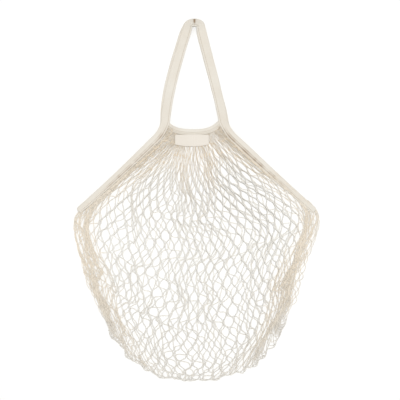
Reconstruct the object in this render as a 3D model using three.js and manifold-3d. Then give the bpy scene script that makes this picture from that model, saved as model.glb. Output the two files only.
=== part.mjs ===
// A cotton string shopping bag, empty and lying on its back with its mouth a little open.
// A net pouch is folded at its bottom and sides. Each side of its mouth is hemmed by one length of flat tape,
// which runs from one corner up to the neck, round as that side's handle, and down to the other corner.
// A band closes the gathers at each side of the neck, and a plain label hangs from the upper one.
import * as THREE from "three";
import { mergeVertices } from "three/addons/utils/BufferGeometryUtils.js";
import Module from "manifold-3d";

const wasm = await Module();
wasm.setup();

// Driving dimensions, in millimetres. X runs across the bag, Y from its bottom up to its handles, Z upwards.
// The origin is on the floor, under the middle of the whole bag.
const BAG_WIDTH = 418; // across the net, just under the corners of the mouth
const BAG_LENGTH = 616; // from the bottom of the net to the top of the handles
const HANDLE_HEIGHT = 192; // from the top of the handles down to the bend at the neck
const CORNER_DROP = 328.5; // from the top of the handles down to the ends of the tapes
const CORNER_SPAN = 404; // between the ends of one tape
const NECK_SPAN = 115; // between the two bends of one tape at the neck
const NECK_MIDDLE = -3.5; // the neck lies a little left of the middle
const TAPE_THICKNESS = 2;
const HEM_WIDTH = 14; // the tape along the mouth, partly rolled over the net's edge
const HANDLE_WIDTH = 16; // the tape lying flat in the handles
const UNROLL_LENGTH = 40; // distance above the neck over which the tape opens out to its full width
const REAR_SPREAD = 2; // the rear handle shows this far outside the front one
const CREST_TILT = 50; // degrees that the tape turns on its edge where the handle doubles back
const CREST_REACH = 26; // length of tape either side of the crest that is turned
const HANDLE_SETTLE = 85; // distance from the neck at which the front handle reaches the rear one
const BAND_WIDTH = 10;
const BAND_THICKNESS = 2.6;
const BAND_DIP = 8; // how far the band hangs below its two ends
const LABEL_WIDTH = 55;
const LABEL_HEIGHT = 19.5;
const LABEL_THICKNESS = 0.8;
const WALL = 3; // the knitted net, knots included
const RIM_HEIGHT = 7; // the net folded on itself at the sides and bottom
const NECK_RISE = 13; // how much higher than the rim the upper side of the mouth lies at the neck
const BULGE = 16; // further rise of the net in the middle of the bag
const GAP = 0.4; // clearance between sewn pieces
const STACK_GAP = 1.2; // clearance of the front handle above the rear one

// The folded net at some distances below the corners: its reach to the left and to the right of the middle,
// as shares of half the bag's width.
const FOLD_OUTLINE = [
  { below: 24, left: 1, right: 1 },
  { below: 83, left: 0.947, right: 0.911 },
  { below: 151, left: 0.83, right: 0.805 },
  { below: 219, left: 0.65, right: 0.642 },
  { below: 253, left: 0.533, right: 0.505 },
  { below: 271, left: 0.4, right: 0.405 },
  { below: 282, left: 0.25, right: 0.26 },
];
const FOLD_START = { below: 10, share: 0.99 }; // where the fold leaves the hems, given in the same way

const HANDLE_TOP = BAG_LENGTH / 2;
const CORNER_Y = HANDLE_TOP - CORNER_DROP;
const NECK_Y = HANDLE_TOP - HANDLE_HEIGHT;
const NECK_HALF = NECK_SPAN / 2;
const CREST_TURN = THREE.MathUtils.degToRad(CREST_TILT);
const CREST_EDGE = (HANDLE_WIDTH * Math.cos(CREST_TURN) + TAPE_THICKNESS * Math.sin(CREST_TURN)) / 2;
const CREST_LEAN = 2.5; // the handles lean this far to the left
const CREST = new THREE.Vector2(NECK_MIDDLE - CREST_LEAN, HANDLE_TOP - CREST_EDGE);
const HEM_STRAIGHT = 0.92; // share of the hem that is straight, before the bend at the neck
const FOOT_RISE = 15; // the legs of the handle start this far above the bend at the neck
const FOOT_INSET = 8.5; // and this far inside it
// Pulls on the curves of the legs, at foot and crest. The left leg bows out more than the right one.
const LEFT_FOOT_PULL = new THREE.Vector2(7, 65);
const LEFT_CREST_PULL = new THREE.Vector2(-24, -4);
const RIGHT_CREST_PULL = new THREE.Vector2(19, -4);
const RIGHT_FOOT_PULL = new THREE.Vector2(-17, 80);

// A box of the given number of steps, with each corner moved to where place puts it.
// along, across and up run from 0 to 1 and make a right-handed set.
function shapedBox(alongSteps, acrossSteps, place) {
  const geometry = new THREE.BoxGeometry(1, 1, 1, alongSteps, acrossSteps, 1);
  geometry.deleteAttribute("normal");
  geometry.deleteAttribute("uv");
  const closed = mergeVertices(geometry);
  const position = closed.getAttribute("position");
  for (let i = 0; i < position.count; i += 1) {
    const point = place(position.getX(i) + 0.5, position.getY(i) + 0.5, position.getZ(i) + 0.5);
    position.setXYZ(i, point.x, point.y, point.z);
  }
  return closed;
}

function toManifold(geometry) {
  const vertProperties = new Float32Array(geometry.getAttribute("position").array);
  const triVerts = new Uint32Array(geometry.getIndex().array);
  return new wasm.Manifold(new wasm.Mesh({ numProp: 3, vertProperties, triVerts }));
}

function subtract(body, hollow) {
  const cut = toManifold(body).subtract(toManifold(hollow)).getMesh();
  const geometry = new THREE.BufferGeometry();
  geometry.setAttribute("position", new THREE.BufferAttribute(cut.vertProperties, 3));
  geometry.setIndex(new THREE.BufferAttribute(cut.triVerts, 1));
  return geometry;
}

const MOUTH_FALL = 1.5; // power by which the mouth falls towards its corners

// Height of the upper side of the mouth above the floor, falling from the neck to the corners.
function mouthHeight(x) {
  const reach = Math.min(1, Math.abs(x - NECK_MIDDLE) / (CORNER_SPAN / 2));
  return RIM_HEIGHT + NECK_RISE * (1 - reach ** MOUTH_FALL);
}

function vector(x, y) {
  return new THREE.Vector2(x, y);
}

// Middle line of a tape in plan, from corner to corner. spread moves the handle's legs outwards.
function tapePath(spread) {
  const leftCorner = vector(-CORNER_SPAN / 2, CORNER_Y);
  const rightCorner = vector(CORNER_SPAN / 2, CORNER_Y);
  const leftNeck = vector(NECK_MIDDLE - NECK_HALF, NECK_Y);
  const rightNeck = vector(NECK_MIDDLE + NECK_HALF, NECK_Y);
  const leftHem = leftCorner.clone().lerp(leftNeck, HEM_STRAIGHT);
  const rightHem = rightCorner.clone().lerp(rightNeck, HEM_STRAIGHT);
  const outwards = vector(spread, 0);
  const leftFoot = leftNeck.clone().add(vector(FOOT_INSET, FOOT_RISE)).sub(outwards);
  const rightFoot = rightNeck.clone().add(vector(-FOOT_INSET, FOOT_RISE)).add(outwards);
  const leftPull = leftFoot.clone().add(LEFT_FOOT_PULL);
  const rightPull = rightFoot.clone().add(RIGHT_FOOT_PULL);
  const leftCrest = CREST.clone().add(LEFT_CREST_PULL).sub(outwards);
  const rightCrest = CREST.clone().add(RIGHT_CREST_PULL).add(outwards);
  const path = new THREE.CurvePath();
  path.add(new THREE.LineCurve(leftCorner, leftHem));
  path.add(new THREE.QuadraticBezierCurve(leftHem, leftNeck, leftFoot));
  path.add(new THREE.CubicBezierCurve(leftFoot, leftPull, leftCrest, CREST));
  path.add(new THREE.CubicBezierCurve(CREST, rightCrest, rightPull, rightFoot));
  path.add(new THREE.QuadraticBezierCurve(rightFoot, rightNeck, rightHem));
  path.add(new THREE.LineCurve(rightHem, rightCorner));
  return path;
}

// A length of tape that follows a path in plan. For each point of the path, lift gives the height of the
// tape's middle line, tilt how far it is turned on its outer edge, and width how wide it is.
function tapeGeometry(path, steps, { width, thickness, lift, tilt }) {
  const points = path.getSpacedPoints(steps);
  return shapedBox(steps, 2, (along, across, up) => {
    const i = Math.round(along * steps);
    const ahead = points[Math.min(i + 1, steps)];
    const behind = points[Math.max(i - 1, 0)];
    const forward = ahead.clone().sub(behind).normalize();
    const outward = new THREE.Vector3(-forward.y, forward.x, 0);
    const turn = tilt(points[i]);
    const side = outward.clone().multiplyScalar(Math.cos(turn)).setZ(-Math.sin(turn));
    const face = outward.clone().multiplyScalar(Math.sin(turn)).setZ(Math.cos(turn));
    return new THREE.Vector3(points[i].x, points[i].y, lift(points[i]))
      .addScaledVector(side, (across - 0.5) * width(points[i]))
      .addScaledVector(face, (up - 0.5) * thickness);
  });
}

function crestTilt(point) {
  const distance = point.distanceTo(CREST) / CREST_REACH;
  return CREST_TURN * Math.exp(-(distance ** 4));
}

function tapeWidth(point) {
  const unrolled = THREE.MathUtils.smoothstep(point.y, NECK_Y, NECK_Y + UNROLL_LENGTH);
  return THREE.MathUtils.lerp(HEM_WIDTH, HANDLE_WIDTH, unrolled);
}

// The rear tape lies on the floor all the way.
function rearLift(point) {
  const turn = crestTilt(point);
  return (tapeWidth(point) / 2) * Math.sin(turn) + (TAPE_THICKNESS / 2) * Math.cos(turn);
}

// The front tape follows the upper side of the mouth, and its handle comes down to lie on the rear one.
function frontLift(point) {
  const turn = crestTilt(point);
  const clearance = (TAPE_THICKNESS + STACK_GAP) / Math.cos(turn) + REAR_SPREAD * Math.tan(turn);
  const onRear = rearLift(point) + clearance;
  const settled = THREE.MathUtils.smoothstep(point.y, NECK_Y, NECK_Y + HANDLE_SETTLE);
  return THREE.MathUtils.lerp(mouthHeight(point.x) - WALL / 2, onRear, settled);
}

const TAPE_STEPS = 96;

function tape(spread, lift) {
  const sizes = { width: tapeWidth, thickness: TAPE_THICKNESS, lift, tilt: crestTilt };
  return tapeGeometry(tapePath(spread), TAPE_STEPS, sizes);
}

const BAND_MARGIN = 12.5; // the band stops this far from the bends, clear of the tapes' inner edges
const BAND_HALF = NECK_HALF - BAND_MARGIN;
const BAND_STEPS = 16;

// The band across one side of the neck, hanging in a shallow curve.
function neckBand(lift) {
  const ends = NECK_Y + BAND_DIP / 2;
  const left = vector(NECK_MIDDLE - BAND_HALF, ends);
  const right = vector(NECK_MIDDLE + BAND_HALF, ends);
  const path = new THREE.QuadraticBezierCurve(left, vector(NECK_MIDDLE, ends - 2 * BAND_DIP), right);
  const sizes = { width: () => BAND_WIDTH, thickness: BAND_THICKNESS, lift, tilt: () => 0 };
  return tapeGeometry(path, BAND_STEPS, sizes);
}

// The inner edge of a hem, from its corner to the neck. side is -1 on the left and 1 on the right.
function hemInnerEdge(side) {
  const corner = vector((side * CORNER_SPAN) / 2, CORNER_Y);
  const neck = vector(NECK_MIDDLE + side * NECK_HALF, NECK_Y);
  const along = neck.clone().sub(corner).normalize();
  const inset = vector(-side * along.y, side * along.x).multiplyScalar(HEM_WIDTH / 2 + GAP);
  return { corner: corner.add(inset), neck: neck.add(inset) };
}

// The edge of the net at the mouth, from corner to corner, just inside the hems and the band.
function mouthEdge() {
  const left = hemInnerEdge(-1);
  const right = hemInnerEdge(1);
  const lowest = NECK_Y - (BAND_DIP + BAND_WIDTH) / 2 - GAP;
  const pull = vector(NECK_MIDDLE, 2 * lowest - left.neck.y);
  const edge = new THREE.CurvePath();
  edge.add(new THREE.LineCurve(left.corner, left.neck));
  edge.add(new THREE.QuadraticBezierCurve(left.neck, pull, right.neck));
  edge.add(new THREE.LineCurve(right.neck, right.corner));
  return edge;
}

// The edge where the net folds over from the front to the back, from corner to corner round the bottom.
function foldEdge() {
  const half = BAG_WIDTH / 2;
  const point = (share, below) => vector(share * half, CORNER_Y - below);
  const left = FOLD_OUTLINE.map((row) => point(-row.left, row.below));
  const right = FOLD_OUTLINE.map((row) => point(row.right, row.below)).reverse();
  const start = point(-FOLD_START.share, FOLD_START.below);
  const end = point(FOLD_START.share, FOLD_START.below);
  const bottom = vector(0, -BAG_LENGTH / 2);
  return new THREE.SplineCurve([start, ...left, bottom, ...right, end]);
}

const MOUTH = mouthEdge();
const FOLD = foldEdge();

// A place on the net in plan: across runs from the left corner to the right one, down from mouth to fold.
function netPoint(across, down) {
  const top = MOUTH.getPointAt(across);
  return top.lerp(FOLD.getPointAt(across), down);
}

// Rise of the limp net from one edge to the other, as a share: steep at the edges and nearly flat between.
function crown(share) {
  return 1 - (1 - Math.sin(Math.PI * share)) ** 2;
}

// Height of the front of the net, outside.
function frontHeight(across, down) {
  const sag = THREE.MathUtils.lerp(mouthHeight(MOUTH.getPointAt(across).x), RIM_HEIGHT, down ** 2);
  const inside = THREE.MathUtils.clamp(down, 0, 1);
  return sag + BULGE * crown(across) * crown(inside);
}

const NET_ACROSS = 36;
const NET_DOWN = 14;
const CORNER_MARGIN = 0.035; // share of the net at each corner that is sewn shut
const MOUTH_OVERRUN = 0.04; // the hollow runs this share of the net's length out of the mouth
const LOWEST_HOLLOW = 1.2;

function pouchOuter() {
  return shapedBox(NET_ACROSS, NET_DOWN, (across, rise, up) => {
    const plan = netPoint(across, 1 - rise);
    return new THREE.Vector3(plan.x, plan.y, up * frontHeight(across, 1 - rise));
  });
}

// Share of the net's length at one place that a wall measured square to the fold takes up.
function wallShare(across) {
  const line = FOLD.getPointAt(across).sub(MOUTH.getPointAt(across));
  return WALL / Math.abs(line.cross(FOLD.getTangentAt(across)));
}

function pouchHollow() {
  return shapedBox(NET_ACROSS, NET_DOWN, (along, rise, up) => {
    const across = THREE.MathUtils.lerp(CORNER_MARGIN, 1 - CORNER_MARGIN, along);
    const down = THREE.MathUtils.lerp(1 - wallShare(across), -MOUTH_OVERRUN, rise);
    const plan = netPoint(across, down);
    const clear = Math.max(LOWEST_HOLLOW, frontHeight(across, Math.max(down, 0)) - 2 * WALL);
    return new THREE.Vector3(plan.x, plan.y, WALL + up * clear);
  });
}

const LABEL_STEPS = 6;
const LABEL_MIDDLE = 0.4865; // share of the mouth's edge at which the label hangs

// The label lies on the front of the net, just under the band.
function labelGeometry() {
  const length = MOUTH.getLength();
  const depth = LABEL_HEIGHT / MOUTH.getPointAt(0.5).distanceTo(FOLD.getPointAt(0.5));
  return shapedBox(LABEL_STEPS, LABEL_STEPS, (along, rise, up) => {
    const across = LABEL_MIDDLE + ((along - 0.5) * LABEL_WIDTH) / length;
    const down = depth * (1 - rise) + GAP / length;
    const plan = netPoint(across, down);
    return new THREE.Vector3(plan.x, plan.y, frontHeight(across, down) + GAP + up * LABEL_THICKNESS);
  });
}

const COTTON_NET = { color: 0xe9dfcf, roughness: 0.95, metalness: 0 };
const COTTON_TAPE = { color: 0xe9e2d6, roughness: 0.9, metalness: 0 };
const LABEL_CLOTH = { color: 0xeee6da, roughness: 0.85, metalness: 0 };

function piece(name, geometry, finish) {
  const mesh = new THREE.Mesh(geometry, new THREE.MeshStandardMaterial(finish));
  mesh.name = name;
  return mesh;
}

function rearBand() {
  return neckBand(() => BAND_THICKNESS / 2);
}

function frontBand() {
  return neckBand((point) => mouthHeight(point.x) - WALL / 2);
}

const bag = new THREE.Group();
bag.add(piece("net_pouch", subtract(pouchOuter(), pouchHollow()), COTTON_NET));
bag.add(piece("rear_tape", tape(REAR_SPREAD, rearLift), COTTON_TAPE));
bag.add(piece("front_tape", tape(0, frontLift), COTTON_TAPE));
bag.add(piece("rear_neck_band", rearBand(), COTTON_TAPE));
bag.add(piece("front_neck_band", frontBand(), COTTON_TAPE));
bag.add(piece("label", labelGeometry(), LABEL_CLOTH));

export default bag;
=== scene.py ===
"""Looks of an undyed cotton string shopping bag, lying on its back with its labelled side up.

The net is laid out joint by joint and then made strand by strand. Flat tapes hem its mouth and run on as the
handles, a band closes each side of the neck, and a plain label hangs from the upper band. Plan sizes are in
millimetres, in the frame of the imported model: X across the bag, Y towards the handles, Z up.
"""
import logging
import math
from abc import ABC, abstractmethod
from dataclasses import dataclass, field
from enum import Enum
from typing import TypeVar

import bpy
import numpy as np
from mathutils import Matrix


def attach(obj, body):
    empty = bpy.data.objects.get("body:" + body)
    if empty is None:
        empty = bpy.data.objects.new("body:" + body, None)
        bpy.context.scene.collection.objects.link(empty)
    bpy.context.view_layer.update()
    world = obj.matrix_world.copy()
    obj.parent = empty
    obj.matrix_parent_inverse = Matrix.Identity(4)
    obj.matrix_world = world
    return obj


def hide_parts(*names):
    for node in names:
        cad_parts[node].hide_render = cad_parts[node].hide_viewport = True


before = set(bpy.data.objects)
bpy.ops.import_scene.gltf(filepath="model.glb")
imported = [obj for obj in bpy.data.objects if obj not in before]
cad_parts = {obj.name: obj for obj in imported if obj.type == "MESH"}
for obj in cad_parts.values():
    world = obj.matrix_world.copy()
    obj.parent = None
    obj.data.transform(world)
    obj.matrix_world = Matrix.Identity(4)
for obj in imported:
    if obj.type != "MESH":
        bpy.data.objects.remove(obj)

LOG = logging.getLogger("string_bag")
MM = 0.001
UP = np.array([0.0, 0.0, 1.0])
# Points along each curved stretch of a line, and how far either way its direction is read, as a share.
CURVE_STEPS = 160
DIRECTION_REACH = 0.004
# Every so many points of a line count when the distance from it is measured.
MEASURE_STRIDE = 6
# Spread of the draws in a random field.
NOISE_SPREAD = 0.6
# Corners of a strand's section, and the angle by which its plies turn from ring to ring.
STRAND_SIDES = 6
PLY_TURN = 0.5
# Mesh value of painted light: a warm tint for light bounced in bunches, painted shade in stitched grooves and
# creases.
PAINTED_LIGHT = "crowding"
# Sockets of a colour mix node: its two colours and its result.
COLOUR_A, COLOUR_B, COLOUR_OUT = 6, 7, 2

# Short names of the types in the hints.
T = TypeVar("T")
Array = np.ndarray
Rng = np.random.Generator
Pair = tuple[float, float]
Pairs = tuple[Pair, ...]
Piece = bpy.types.Object
Material = bpy.types.Material
Tree = bpy.types.NodeTree
Node = bpy.types.Node
Socket = bpy.types.NodeSocket


class Layer(Enum):
    """The two sides of the bag as it lies on its back."""

    FRONT = "front"
    REAR = "rear"

    def pick(self, pair: tuple[T, T]) -> T:
        """The one of a front and a rear value that belongs to this side."""
        return pair[0] if self is Layer.FRONT else pair[1]


class Side(Enum):
    """The two halves of the bag, with the sign of their X."""

    LEFT = -1
    RIGHT = 1

    def pick(self, pair: tuple[T, T]) -> T:
        """The one of a left and a right value that belongs to this half."""
        return pair[0] if self is Side.LEFT else pair[1]


def smoothstep(value: Array, low: float, high: float) -> Array:
    """Share from 0 to 1, eased at both ends, as value goes from low to high."""
    share = np.clip((value - low) / (high - low), 0.0, 1.0)
    return share * share * (3.0 - 2.0 * share)


def plateau(value: Array, rise: Pair, fall: Pair) -> Array:
    """Share from 0 to 1 that eases in over the rise and out again over the fall."""
    return smoothstep(value, *rise) * (1.0 - smoothstep(value, *fall))


def bell(value: Array, middle: float, reach: float) -> Array:
    """A round peak of one at the middle, which fades out within about twice the reach."""
    return np.exp(-(((value - middle) / reach) ** 2))


def crowded(share: Array, reach: float) -> Array:
    """Shares drawn together towards zero over the given reach, with their order kept."""
    near = np.where(share < reach, share**2 / (2.0 * reach), share - reach / 2.0)
    return near / (1.0 - reach / 2.0)


def unit(vectors: Array) -> Array:
    """The vectors of the last axis, each made one long."""
    return vectors / np.maximum(np.linalg.norm(vectors, axis=-1, keepdims=True), 1e-9)


def distances(points: Array) -> Array:
    """Distance of each point from the first one, along lines that run on the last axis but one."""
    steps = np.linalg.norm(np.diff(points, axis=-2), axis=-1)
    return np.concatenate([np.zeros((*steps.shape[:-1], 1)), np.cumsum(steps, axis=-1)], axis=-1)


def length_of(points: Array) -> float:
    """Length of a line."""
    return float(np.linalg.norm(np.diff(points, axis=0), axis=1).sum())


def lifted(flat: Array, height: Array | float) -> Array:
    """Points in plan, put at their heights."""
    return np.concatenate([flat, np.broadcast_to(height, flat.shape[:-1])[..., None]], axis=-1)


def away_from(line: Array, points: Array) -> Array:
    """Distance of points in plan, by column and row, from the nearest point of a line."""
    return np.stack([np.linalg.norm(column[:, None] - line, axis=-1).min(axis=1) for column in points])


def bezier(*controls: Pair) -> Array:
    """Points along a Bezier curve.

    Args:
        controls: Control points in plan, two or more.

    Returns:
        CURVE_STEPS points in plan.
    """
    share = np.linspace(0.0, 1.0, CURVE_STEPS)[:, None]
    level = [np.broadcast_to(np.asarray(point, float), (CURVE_STEPS, 2)) for point in controls]
    while len(level) > 1:
        level = [(1.0 - share) * a + share * b for a, b in zip(level, level[1:])]
    return level[0]


def spline(knots: Array) -> Array:
    """Points along a smooth line through every knot.

    Args:
        knots: Points in plan.

    Returns:
        Points in plan, CURVE_STEPS of them between each two knots.
    """
    padded = np.vstack([knots[:1], knots, knots[-1:]])
    share = np.linspace(0.0, 1.0, CURVE_STEPS, endpoint=False)[:, None]
    pieces = []
    for before, start, end, after in zip(padded, padded[1:], padded[2:], padded[3:]):
        leave = (end - before) / 2.0
        arrive = (after - start) / 2.0
        cubic = 2.0 * start - 2.0 * end + leave + arrive
        square = 3.0 * end - 3.0 * start - 2.0 * leave - arrive
        pieces.append(((cubic * share + square) * share + leave) * share + start)
    return np.vstack([*pieces, knots[-1:]])


def soft_noise(rng: Rng, shape: tuple[int, int], cells: tuple[int, int]) -> Array:
    """A smooth random field.

    Args:
        rng: Seeded source of the draws.
        shape: Size of the field.
        cells: How many swells there are along each axis.

    Returns:
        The field, mostly between -1 and 1.
    """
    out = rng.standard_normal((cells[0] + 1, cells[1] + 1)) * NOISE_SPREAD
    for axis, size in enumerate(shape):
        place = np.linspace(0.0, cells[axis], size)
        low = np.minimum(place.astype(int), cells[axis] - 1)
        part = smoothstep(place - low, 0.0, 1.0).reshape([-1 if axis == k else 1 for k in range(2)])
        out = np.take(out, low, axis) * (1.0 - part) + np.take(out, low + 1, axis) * part
    return out


def waver(rng: Rng, count: int, swells: int) -> Array:
    """A smooth random row of that many values and swells, mostly between -1 and 1."""
    return soft_noise(rng, (count, 1), (swells, 1))[:, 0]


@dataclass
class PlanCurve:
    """A line in plan that is read by its share of length."""

    points: Array
    shares: Array = field(init=False)
    length: float = field(init=False)

    def __post_init__(self) -> None:
        """Measure the line."""
        self.length = length_of(self.points)
        self.shares = distances(self.points) / self.length

    def at(self, share: Array | float) -> Array:
        """Points at the given shares of the length."""
        columns = [np.interp(share, self.shares, self.points[:, axis]) for axis in range(2)]
        return np.stack(columns, axis=-1)

    def left_of(self, share: Array | float) -> Array:
        """Unit vectors to the left of the way the line runs."""
        ahead = unit(self.at(np.add(share, DIRECTION_REACH)) - self.at(np.subtract(share, DIRECTION_REACH)))
        return np.stack([-ahead[..., 1], ahead[..., 0]], axis=-1)

    def part(self, start: float, end: float) -> "PlanCurve":
        """The stretch from one share to another, in that direction."""
        return PlanCurve(self.at(np.linspace(start, end, 2 * CURVE_STEPS)))


@dataclass(frozen=True)
class BagPlan:
    """Sizes of the whole bag and the lines that its pieces share."""

    bag_width: float = 418.0
    bag_length: float = 616.0
    handle_height: float = 192.0
    corner_drop: float = 328.5
    corner_span: float = 404.0
    neck_span: float = 115.0
    neck_middle: float = -3.5
    tape_thickness: float = 2.0
    hem_width: float = 14.0
    handle_width: float = 16.0
    unroll_length: float = 40.0
    rear_spread: float = 2.0
    crest_tilt: float = math.radians(30.0)
    crest_reach: float = 16.0
    handle_settle: float = 85.0
    band_width: float = 10.0
    band_dip: float = 8.0
    wall: float = 3.0
    rim_height: float = 7.0
    neck_rise: float = 13.0
    mouth_fall: float = 1.5
    bulge: float = 16.0
    gap: float = 0.4
    stack_gap: float = 1.2
    # Share of a hem after which the tape bends into the handle.
    hem_straight: float = 0.92
    # Foot of a handle: inside the bend at the neck and above it.
    foot: Pair = (8.5, 15.0)
    # How far the left and the right hem are pulled in at the neck, and the share of that which bows them.
    hem_pulls: Pair = (4.5, 2.5)
    hem_bow: float = 0.7
    # Middle of a handle where it turns over: aside of the crest and below it, and how far it leans in.
    shoulder: Pair = (10.0, 4.5)
    shoulder_lean: float = 1.5
    # How the left and the right leg of a handle leave the foot, and how they come to the shoulder.
    leg_starts: Pairs = ((2.5, 49.0), (-7.5, 49.0))
    leg_ends: Pairs = ((-15.5, -48.0), (11.0, -49.0))
    # The folded net below the corners: distance, then reach to left and right as shares of half the width.
    fold_rows: tuple[tuple[float, float, float], ...] = (
        (10.0, 0.99, 0.99),
        (24.0, 1.0, 1.0),
        (83.0, 0.947, 0.911),
        (151.0, 0.83, 0.805),
        (219.0, 0.65, 0.642),
        (253.0, 0.533, 0.505),
        (271.0, 0.4, 0.405),
        (282.0, 0.25, 0.26),
    )
    # Samples of the upper side each way, and the reach over which they are evened out.
    height_samples: int = 61
    height_blur: float = 3.0

    @property
    def handle_top(self) -> float:
        """Y of the top of the handles."""
        return self.bag_length / 2.0

    @property
    def corner_y(self) -> float:
        """Y of the ends of the tapes."""
        return self.handle_top - self.corner_drop

    @property
    def neck_y(self) -> float:
        """Y of the bends at the neck."""
        return self.handle_top - self.handle_height

    @property
    def crest(self) -> Array:
        """Where a handle doubles back.

        Returns:
            The middle of the tape there, in plan.
        """
        turn = self.crest_tilt
        edge = (self.handle_width * math.cos(turn) + self.tape_thickness * math.sin(turn)) / 2.0
        return np.array([self.neck_middle, self.handle_top - edge])

    def corner(self, side: Side) -> Array:
        """Where a tape ends at the corner of the mouth, in plan."""
        return np.array([side.value * self.corner_span / 2.0, self.corner_y])

    def neck(self, side: Side) -> Array:
        """Where a tape bends at the neck, in plan."""
        return np.array([self.neck_middle + side.value * self.neck_span / 2.0, self.neck_y])

    def inwards(self, side: Side) -> Array:
        """Direction from a hem into the bag, in plan."""
        along = unit(self.neck(side) - self.corner(side))
        return side.value * np.array([-along[1], along[0]])

    def hem_pull(self, side: Side) -> Array:
        """How far a hem is pulled in at the neck, in plan."""
        return side.pick(self.hem_pulls) * self.inwards(side)

    def hem_line(self, side: Side, neck: Array, corner: Array) -> Array:
        """Points of a line beside a hem, bowed in as the hem is, from the neck to the corner."""
        return bezier(neck, (neck + corner) / 2.0 + self.hem_bow * self.hem_pull(side), corner)

    def half_tape(self, side: Side, spread: float) -> Array:
        """Middle line of one half of a tape.

        Args:
            side: Left or right half.
            spread: How far the leg of the handle is moved outwards.

        Returns:
            Points in plan, from the corner up to the crest.
        """
        out = side.value
        end, bend = self.corner(side), self.neck(side) + self.hem_pull(side)
        hem = end + (bend - end) * self.hem_straight
        foot = self.neck(side) + (out * (spread - self.foot[0]), self.foot[1])
        top = self.crest + (out * (self.shoulder[0] + spread / 2.0), -self.shoulder[1])
        turn = top + (-out * self.shoulder_lean, self.shoulder[1])
        pieces = [
            bezier(hem, bend, foot),
            bezier(foot, foot + side.pick(self.leg_starts), top + side.pick(self.leg_ends), top),
            bezier(top, turn, self.crest),
        ]
        return np.vstack([self.hem_line(side, hem, end)[::-1], *[piece[1:] for piece in pieces]])

    def tape_line(self, spread: float) -> PlanCurve:
        """Middle line of a tape from corner to corner, with its legs moved outwards by the spread."""
        left, right = [self.half_tape(side, spread) for side in Side]
        return PlanCurve(np.vstack([left, right[-2::-1]]))

    def hem_edge(self, side: Side, inset: float) -> tuple[Array, Array]:
        """Ends of the line along a hem, that far inside its middle line, at the corner and at the neck."""
        inwards = inset * self.inwards(side)
        return self.corner(side) + inwards, self.neck(side) + inwards

    def neck_edge(self, left: Array, right: Array) -> PlanCurve:
        """The lower edge of the neck between two points, which dips under the band."""
        lowest = self.neck_y - (self.band_dip + self.band_width) / 2.0 - self.gap
        return PlanCurve(bezier(left, (self.neck_middle, 2.0 * lowest - left[1]), right))

    def mouth_line(self) -> PlanCurve:
        """Edge of the net at the mouth.

        Returns:
            Line just inside the hems and the band, from corner to corner.
        """
        left, right = [self.hem_edge(side, self.hem_width / 2.0 + self.gap) for side in Side]
        neck = self.neck_edge(left[1], right[1])
        return PlanCurve(np.vstack([bezier(*left), neck.points[1:], bezier(*right[::-1])[1:]]))

    def fold_line(self) -> PlanCurve:
        """Edge where the net folds from front to rear.

        Returns:
            Line from the left corner round the bottom to the right one.
        """
        half = self.bag_width / 2.0
        left = [(-row[1] * half, self.corner_y - row[0]) for row in self.fold_rows]
        right = [(row[2] * half, self.corner_y - row[0]) for row in reversed(self.fold_rows)]
        return PlanCurve(spline(np.array([*left, (0.0, -self.bag_length / 2.0), *right])))

    def mouth_height(self, x: Array) -> Array:
        """Height of the upper side of the mouth at the given X."""
        reach = np.minimum(1.0, np.abs(x - self.neck_middle) / (self.corner_span / 2.0))
        return self.rim_height + self.neck_rise * (1.0 - reach**self.mouth_fall)

    def front_height(self, points: Array) -> Array:
        """Height of the upper side of the net, as the solid has it.

        Args:
            points: Points in plan, by column, row and axis.

        Returns:
            Heights above the floor.
        """
        share = np.linspace(0.0, 1.0, self.height_samples)
        across, down = [grid.ravel() for grid in np.meshgrid(share, share, indexing="ij")]
        top, base = self.mouth_line().at(across), self.fold_line().at(across)
        places = top + (base - top) * down[:, None]
        rises = [1.0 - (1.0 - np.sin(math.pi * part)) ** 2 for part in (across, down)]
        mouth = self.mouth_height(top[:, 0])
        levels = mouth + (self.rim_height - mouth) * down**2 + self.bulge * rises[0] * rises[1]
        out = []
        for column in points:
            weight = (((column[:, None] - places) ** 2).sum(axis=-1) + self.height_blur**2) ** -2
            out.append(weight @ levels / weight.sum(axis=1))
        return np.stack(out)

    def tape_tilt(self, points: Array) -> Array:
        """How far a tape is turned on its outer edge at points of its line, in radians."""
        distance = np.linalg.norm(points - self.crest, axis=-1) / self.crest_reach
        return self.crest_tilt * np.exp(-(distance**4))

    def tape_width(self, points: Array) -> Array:
        """Width of a tape at points of its line."""
        opened = smoothstep(points[:, 1], self.neck_y, self.neck_y + self.unroll_length)
        return self.hem_width + (self.handle_width - self.hem_width) * opened

    def tape_lift(self, points: Array, layer: Layer) -> Array:
        """Height of a tape's middle at points of its line.

        Args:
            points: Points in plan.
            layer: The rear tape lies on the floor, and the front one over the mouth and on the rear handle.

        Returns:
            Heights above the floor.
        """
        turn = self.tape_tilt(points)
        rear = self.tape_width(points) / 2.0 * np.sin(turn) + self.tape_thickness / 2.0 * np.cos(turn)
        if layer is Layer.REAR:
            return rear
        stacked = (self.tape_thickness + self.stack_gap) / np.cos(turn) + self.rear_spread * np.tan(turn)
        settled = smoothstep(points[:, 1], self.neck_y, self.neck_y + self.handle_settle)
        over_mouth = self.mouth_height(points[:, 0]) - self.wall / 2.0
        return over_mouth * (1.0 - settled) + (rear + stacked) * settled


def linear(hex_colour: str) -> tuple[float, float, float, float]:
    """A colour written as sRGB hex, turned linear.

    Args:
        hex_colour: Six hex digits after a hash.

    Returns:
        Linear red, green, blue and an alpha of one.
    """
    parts = [int(hex_colour[k : k + 2], 16) / 255.0 for k in (1, 3, 5)]
    lin = [c / 12.92 if c <= 0.04045 else ((c + 0.055) / 1.055) ** 2.4 for c in parts]
    return (lin[0], lin[1], lin[2], 1.0)


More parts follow.
